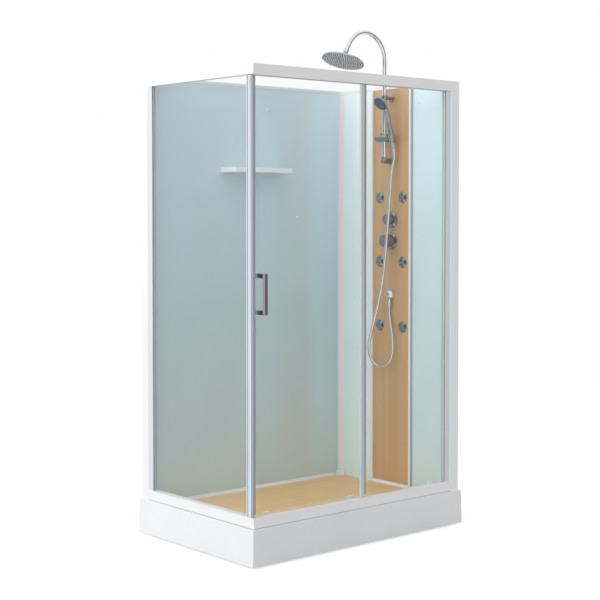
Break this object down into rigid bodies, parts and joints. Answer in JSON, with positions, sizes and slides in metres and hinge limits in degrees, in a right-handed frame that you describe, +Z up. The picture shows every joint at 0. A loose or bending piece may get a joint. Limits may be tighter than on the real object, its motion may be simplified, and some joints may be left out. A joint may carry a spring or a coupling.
{
  "type": "shower cabin",
  "caption": "Rectangular shower cabin with a low tray, a sliding glass door, glass walls, a bamboo shower column, rain head, hand shower and body jets.",
  "frame": {"origin": "on the floor, at the underside of the middle foot, under the middle of the tray", "axes": "+X along the door side from the side glass to the shower column, +Y from the door side to the back wall, +Z up"},
  "size_m": [1.205, 0.823, 2.237],
  "materials": {
    "white_acrylic": "smooth glossy white, like cast acrylic",
    "white_coating": "satin white powder coat on aluminium",
    "white_plastic": "plain white moulded plastic",
    "clear_glass": "clear toughened glass, polished",
    "back_glass": "blue-green glass with a coloured back, glossy",
    "bamboo_panel": "bamboo veneer under a thin satin lacquer",
    "bamboo_board": "oiled bamboo planks, matt",
    "bright_metal": "polished chrome plate",
    "bright_profile": "bright anodised aluminium profile",
    "frame_steel": "plain zinc-plated steel",
    "seal_strip": "pale grey flexible strip with a magnet inside",
    "grey_channel": "satin anodised aluminium",
    "black_rubber": "matt black rubber",
    "roller_plastic": "hard white bearing plastic",
    "spray_face": "dark blue-grey spray plate with soft nozzles",
    "grey_pipe": "grey plastic waste fitting"
  },
  "bodies": {
    "cabin": {"back_wall_glass": "back_glass", "base_frame": "frame_steel", "bottom_rail_front": "white_coating", "bottom_rail_side": "white_coating", "column_joint_strips": "white_coating", "column_panel": "bamboo_panel", "door_stops": "black_rubber", "drain_trap": "grey_pipe", "fixed_edge_profile": "bright_profile", "fixed_glass": "clear_glass", "foot_pads": "black_rubber", "foot_studs": "frame_steel", "front_apron": "white_acrylic", "jet_flanges": "bright_metal", "outlet_elbow": "bright_metal", "post_back": "white_coating", "post_left": "white_coating", "post_right": "white_coating", "right_glass_front": "back_glass", "right_glass_rear": "back_glass", "riser_brackets": "bright_metal", "riser_pipe": "bright_metal", "shelf": "white_acrylic", "shower_hose": "bright_metal", "side_apron": "white_acrylic", "side_edge_profile": "bright_profile", "side_glass": "clear_glass", "side_magnet_seal": "seal_strip", "top_rail_front": "white_coating", "top_rail_side": "white_coating", "tray": "white_acrylic", "valve_body": "frame_steel", "valve_plates": "bright_metal", "wall_channels": "grey_channel", "wall_trims": "white_coating", "water_pipes": "frame_steel"},
    "door": {"door_glass": "clear_glass", "door_edge_profiles": "bright_profile", "door_magnet_seal": "seal_strip", "door_handle": "bright_metal", "roller_carriers": "white_plastic"},
    "top_lead_wheel": {"top_roller_lead": "roller_plastic"},
    "top_trail_wheel": {"top_roller_trail": "roller_plastic"},
    "bottom_lead_wheel": {"bottom_roller_lead": "roller_plastic"},
    "bottom_trail_wheel": {"bottom_roller_trail": "roller_plastic"},
    "diverter": {"diverter_knob": "bright_metal"},
    "mixer": {"mixer_knob": "bright_metal"},
    "overhead_shower": {"rain_head": "bright_metal", "rain_head_face": "spray_face"},
    "slide_block": {"slider": "bright_metal"},
    "holder": {"handset_holder": "bright_metal"},
    "handset": {"hand_shower": "bright_metal"},
    "waste_cover": {"drain_cover": "bright_metal"},
    "duckboard": {"floor_board": "bamboo_board"},
    "top_left_nozzle": {"top_jet_left": "bright_metal"},
    "top_right_nozzle": {"top_jet_right": "bright_metal"},
    "middle_left_nozzle": {"middle_jet_left": "bright_metal"},
    "middle_right_nozzle": {"middle_jet_right": "bright_metal"},
    "low_left_nozzle": {"low_jet_left": "bright_metal"},
    "low_right_nozzle": {"low_jet_right": "bright_metal"}
  },
  "joints": [
    {"name": "door_slide", "type": "slide", "parent": "cabin", "child": "door", "axis": [1, 0, 0], "range_m": [0, 0.46]},
    {"name": "top_lead_roll", "type": "hinge", "parent": "door", "child": "top_lead_wheel", "pos_m": [-0.5, -0.3505, 1.9637], "axis": [0, 1, 0], "range_deg": [0, 2800]},
    {"name": "top_trail_roll", "type": "hinge", "parent": "door", "child": "top_trail_wheel", "pos_m": [-0.045, -0.3505, 1.9637], "axis": [0, 1, 0], "range_deg": [0, 2800]},
    {"name": "bottom_lead_roll", "type": "hinge", "parent": "door", "child": "bottom_lead_wheel", "pos_m": [-0.5, -0.3505, 0.1927], "axis": [0, 1, 0], "range_deg": [0, 2800]},
    {"name": "bottom_trail_roll", "type": "hinge", "parent": "door", "child": "bottom_trail_wheel", "pos_m": [-0.045, -0.3505, 0.1927], "axis": [0, 1, 0], "range_deg": [0, 2800]},
    {"name": "diverter_turn", "type": "hinge", "parent": "cabin", "child": "diverter", "pos_m": [0.51, -0.02, 1.372], "axis": [-1, 0, 0], "range_deg": [-90, 90]},
    {"name": "mixer_turn", "type": "hinge", "parent": "cabin", "child": "mixer", "pos_m": [0.5, -0.02, 1.273], "axis": [-1, 0, 0], "range_deg": [-60, 60]},
    {"name": "overhead_tilt", "type": "hinge", "parent": "cabin", "child": "overhead_shower", "pos_m": [0.23031, -0.02, 2.11244], "axis": [0, 1, 0], "range_deg": [-15, 15]},
    {"name": "slide_block_travel", "type": "slide", "parent": "cabin", "child": "slide_block", "axis": [0, 0, 1], "range_m": [-0.065, 0.09], "deforming": ["shower_hose"]},
    {"name": "holder_tilt", "type": "hinge", "parent": "slide_block", "child": "holder", "pos_m": [0.482, -0.06, 1.748], "axis": [0, 1, 0], "range_deg": [-15, 12], "deforming": ["shower_hose"]},
    {"name": "handset_lift", "type": "slide", "parent": "holder", "child": "handset", "axis": [-0.2419, 0, 0.9703], "range_m": [0, 0.06], "deforming": ["shower_hose"]},
    {"name": "waste_cover_lift", "type": "slide", "parent": "cabin", "child": "waste_cover", "axis": [0, 0, 1], "range_m": [0, 0.012]},
    {"name": "duckboard_lift", "type": "slide", "parent": "cabin", "child": "duckboard", "axis": [0, 0, 1], "range_m": [0, 0.12]},
    {"name": "top_left_aim", "type": "hinge", "parent": "cabin", "child": "top_left_nozzle", "pos_m": [0.531, 0.055, 1.474], "axis": [0, 1, 0], "range_deg": [-15, 15]},
    {"name": "top_right_aim", "type": "hinge", "parent": "cabin", "child": "top_right_nozzle", "pos_m": [0.531, -0.095, 1.474], "axis": [0, 1, 0], "range_deg": [-15, 15]},
    {"name": "middle_left_aim", "type": "hinge", "parent": "cabin", "child": "middle_left_nozzle", "pos_m": [0.531, 0.055, 1.174], "axis": [0, 1, 0], "range_deg": [-15, 15]},
    {"name": "middle_right_aim", "type": "hinge", "parent": "cabin", "child": "middle_right_nozzle", "pos_m": [0.531, -0.095, 1.174], "axis": [0, 1, 0], "range_deg": [-15, 15]},
    {"name": "low_left_aim", "type": "hinge", "parent": "cabin", "child": "low_left_nozzle", "pos_m": [0.531, 0.055, 0.874], "axis": [0, 1, 0], "range_deg": [-15, 15]},
    {"name": "low_right_aim", "type": "hinge", "parent": "cabin", "child": "low_right_nozzle", "pos_m": [0.531, -0.095, 0.874], "axis": [0, 1, 0], "range_deg": [-15, 15]}
  ],
  "couplings": [
    {"joint": "top_lead_roll", "follows": "door_slide", "rad_per_m": 105.26},
    {"joint": "top_trail_roll", "follows": "door_slide", "rad_per_m": 105.26},
    {"joint": "bottom_lead_roll", "follows": "door_slide", "rad_per_m": 105.26},
    {"joint": "bottom_trail_roll", "follows": "door_slide", "rad_per_m": 105.26}
  ]
}
